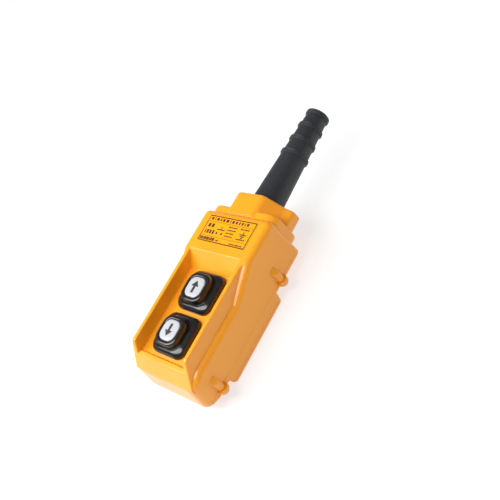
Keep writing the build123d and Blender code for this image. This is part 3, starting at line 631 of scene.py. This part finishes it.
# The symbols' line, the switch's two round contacts, and the earth symbol on the right.
# The switch's bridge is a bar with a stem on top of it.
SYMBOL_LINE = 0.9
CONTACT_PLACES, CONTACT_Y, CONTACT_R, CONTACT_POINTS = (16.0, 21.0), 8.6, 1.0, 12
BRIDGE_AT, BRIDGE_WIDTH = (14.6, 11.4), 7.8
STEM_AT, STEM_HEIGHT = (18.05, 12.3), 2.4
EARTH_STEM_AT, EARTH_STEM_HEIGHT = (41.3, 11.9), 1.9
EARTH_X, EARTH_Y, EARTH_STEP, EARTH_WIDTHS = 41.75, 11.0, 1.45, (6.6, 4.4, 2.2)

# How deep the print lies in the film, and its thickness.
PRINT_DEPTH, PRINT_THICKNESS = 0.01 * MM, 0.03 * MM


def bar(x, y, width, height):
    """Outline of an upright bar from its lower left corner, in mm on the label."""
    return [(x, y), (x + width, y), (x + width, y + height), (x, y + height)]


def greeked_row(x, y, height, widths, gap):
    """Short bars in a row, which stand for a line of small print."""
    bars = []
    for width in widths:
        bars.append(bar(x, y, width, height))
        x += width + gap
    return bars


def label_print():
    """Every mark on the label as outlines in mm, from the label's lower left corner.

    The marks are generic: a frame, ruled lines, bars in place of print, and two symbols.
    """
    (left, foot), (width, height), line = FRAME_AT, FRAME_SIZE, FRAME_LINE
    marks = [
        bar(left, foot, width, line),
        bar(left, foot + height - line, width, line),
        bar(left, foot + line, line, height - 2 * line),
        bar(left + width - line, foot + line, line, height - 2 * line),
    ]
    marks += [bar(*rule, RULE_HEIGHT) for rule in RULES]
    for row in PRINT_ROWS:
        marks += greeked_row(*row)
    for x, top, step, rows in PRINT_COLUMNS:
        for row, widths in enumerate(rows):
            marks += greeked_row(x, top - step * row, SMALL_PRINT, widths, SMALL_GAP)
    # Switch symbol: two contacts with the open bridge over them.
    turns = [math.radians(360 / CONTACT_POINTS * k) for k in range(CONTACT_POINTS)]
    for x in CONTACT_PLACES:
        marks.append([(x + CONTACT_R * math.cos(turn), CONTACT_Y + CONTACT_R * math.sin(turn))
                      for turn in turns])
    marks.append(bar(*BRIDGE_AT, BRIDGE_WIDTH, SYMBOL_LINE))
    marks.append(bar(*STEM_AT, SYMBOL_LINE, STEM_HEIGHT))
    # Earth symbol: a stem over three shorter and shorter lines.
    marks.append(bar(*EARTH_STEM_AT, SYMBOL_LINE, EARTH_STEM_HEIGHT))
    for step, width in enumerate(EARTH_WIDTHS):
        marks.append(bar(EARTH_X - width / 2, EARTH_Y - EARTH_STEP * step, width, SYMBOL_LINE))
    return marks


def make_label_print(materials):
    """One thin printed layer, sunk a little into the label film and standing off its top."""
    low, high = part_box("rating_label")
    form = bmesh.new()
    for outline in label_print():
        points = [(low.x + x * MM, low.y + y * MM) for x, y in outline]
        add_plate(form, points, high.z - PRINT_DEPTH, PRINT_THICKNESS)
    mesh = finish_mesh(form, "label_print")
    new_piece("label_print", mesh, materials["label_ink"], "housing")


# ------------------------------------------------------------------ cable boot
# The boot's axis and radii, and places along it measured back from its tip.
AXIS_Z = 29.0 * MM
BORE_R = 5.25 * MM
NECK_R, TAPER_END_R, TIP_R = 12.5 * MM, 10.5 * MM, 8.5 * MM
RING_WIDTH, RING_HEIGHT = 3.2 * MM, 1.2 * MM
RING_FROM_TIP = (40.6 * MM, 27.4 * MM, 14.2 * MM, 1.6 * MM)
COLLAR_FROM_TIP = 88.0 * MM
SOCKET_FROM_TIP, FLANGE_FROM_TIP = 91.5 * MM, 95.0 * MM
FLANGE_R = 13.9 * MM
# Each ring's crest has a groove: its depth is a share of the ring's height, and its width one
# of half the ring's width.
GROOVE_DEPTH, GROOVE_WIDTH = 0.3, 0.26
# The last ring ends where the mouth's rounded edge begins.
MOUTH_EDGE = 0.35 * MM
BORE_FROM_TIP = (20 * MM, 45 * MM, 70 * MM)
# Steps along the long taper, half a ring, and a gap between rings, and once round the axis.
TAPER_STEPS, RING_STEPS, GAP_STEPS, TURN_STEPS = 12, 12, 5, 96


def boot_wall(from_tip):
    """Radius of the boot's plain wall at a distance from its tip."""
    first = RING_FROM_TIP[0]
    if from_tip >= first:
        share = (COLLAR_FROM_TIP - from_tip) / (COLLAR_FROM_TIP - first)
        return NECK_R + max(0.0, share) * (TAPER_END_R - NECK_R)
    return TIP_R + from_tip / first * (TAPER_END_R - TIP_R)


def boot_outline(tip_y):
    """Closed profile of (radius, y): flange, long taper, rounded rings, mouth and bore."""
    points = [(BORE_R, tip_y - FLANGE_FROM_TIP), (FLANGE_R, tip_y - FLANGE_FROM_TIP),
              (FLANGE_R, tip_y - SOCKET_FROM_TIP), (NECK_R, tip_y - SOCKET_FROM_TIP)]
    start, end = COLLAR_FROM_TIP, RING_FROM_TIP[0] + 0.6 * RING_WIDTH
    for step in range(TAPER_STEPS + 1):
        place = start + step / TAPER_STEPS * (end - start)
        points.append((boot_wall(place), tip_y - place))
    for ring in RING_FROM_TIP:
        # A round-shouldered bead with a groove along its crest, and a sharp foot each side. It
        # starts one step before the bead and ends one step after it.
        for across in range(2 * RING_STEPS + 3):
            share = across / RING_STEPS - (RING_STEPS + 1) / RING_STEPS
            place = ring - share * RING_WIDTH / 2
            if place < MOUTH_EDGE:
                continue
            shoulder = (1 - share ** 6) ** 0.6 if abs(share) < 1 else 0.0
            groove = GROOVE_DEPTH * math.exp(-(share / GROOVE_WIDTH) ** 2)
            points.append((boot_wall(place) + RING_HEIGHT * (shoulder - groove * shoulder),
                           tip_y - place))
        if ring != RING_FROM_TIP[-1]:
            following = RING_FROM_TIP[RING_FROM_TIP.index(ring) + 1]
            for step in range(1, GAP_STEPS):
                share = step / GAP_STEPS
                place = ring - RING_WIDTH / 2 - share * (ring - following - RING_WIDTH)
                points.append((boot_wall(place), tip_y - place))
    edge_r = boot_wall(0) + RING_HEIGHT
    points += [(edge_r - 0.15 * MM, tip_y - 0.2 * MM), (edge_r - 0.5 * MM, tip_y),
               (BORE_R + 0.5 * MM, tip_y), (BORE_R, tip_y - 0.4 * MM)]
    points += [(BORE_R, tip_y - place) for place in BORE_FROM_TIP]
    return points


def make_cable_boot(materials):
    """Ringed rubber boot, turned from its profile about the cable's axis."""
    low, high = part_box("cable_boot")
    mesh = lathe("cable_boot_rubber", boot_outline(high.y), AXIS_Z, TURN_STEPS)
    boot = new_piece("cable_boot_rubber", mesh, materials["boot_rubber"],
                     "housing")
    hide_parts("cable_boot")


# --------------------------------------------------------- surroundings and light
# The floor lies just under the station. Every panel light is at the same distance from it.
FLOOR_HALF_SIZE, FLOOR_GAP = 3.0, 0.1 * MM
FLOOR_ROUGHNESS, FLOOR_GLOW = 0.7, 0.66
WORLD_STRENGTH = 0.22
LIGHT_DISTANCE = 1.0


def make_floor():
    """Plain pale floor under the station, which glows a little, as a lit white sweep does."""
    size = FLOOR_HALF_SIZE
    mesh = bpy.data.meshes.new("floor")
    corners = [(-size, -size, 0), (size, -size, 0), (size, size, 0), (-size, size, 0)]
    mesh.from_pydata(corners, [], [(0, 1, 2, 3)])
    floor = bpy.data.objects.new("floor", mesh)
    bpy.context.scene.collection.objects.link(floor)
    floor.location.z = CAD_BOX[0].z - FLOOR_GAP
    made = Material("floor_white", FLOOR_WHITE, FLOOR_ROUGHNESS,
                    Emission_Color=(1, 1, 1, 1), Emission_Strength=FLOOR_GLOW)
    mesh.materials.append(made.data)


def make_softbox(name, direction, size, watts, glossy=True):
    """Flat panel light that faces the station from a direction, its width along X.

    A panel that isn't glossy only fills: it has no reflection in the shiny surfaces.
    """
    data = bpy.data.lights.new(name, "AREA")
    data.shape = "RECTANGLE"
    data.size, data.size_y = size
    data.energy = watts
    light = bpy.data.objects.new(name, data)
    bpy.context.scene.collection.objects.link(light)
    towards = Vector(direction).normalized()
    across = (Vector((1, 0, 0)) - towards * towards.x).normalized()
    light.location = CAMERA_AIM + towards * LIGHT_DISTANCE
    turn = Matrix((across, towards.cross(across), towards)).transposed()
    light.rotation_euler = turn.to_euler()
    light.visible_glossy = glossy


def make_light():
    """A wide strip above the foot of the station, fills on the left and right, a pale world."""
    make_softbox("key", direction=(-0.25, -0.32, 0.9), size=(1.3, 0.45), watts=12.0)
    make_softbox("left", direction=(-0.75, -0.45, 0.55), size=(0.7, 0.7), watts=8.0,
                 glossy=False)
    make_softbox("right", direction=(0.55, 0.15, 0.8), size=(0.8, 0.8), watts=1.9,
                 glossy=False)
    world = bpy.data.worlds.new("world")
    world.use_nodes = True
    background = world.node_tree.nodes["Background"]
    background.inputs["Color"].default_value = (1, 1, 1, 1)
    background.inputs["Strength"].default_value = WORLD_STRENGTH
    bpy.context.scene.world = world
    bpy.context.scene.view_settings.view_transform = "Standard"


# -------------------------------------------------------------------------- build
make_camera()
finishes = make_materials()
dress_frame(finishes)
make_button("up", 1, finishes)
make_button("down", -1, finishes)
make_return_spring("up", finishes)
make_return_spring("down", finishes)
make_label_print(finishes)
make_cable_boot(finishes)
make_floor()
make_light()
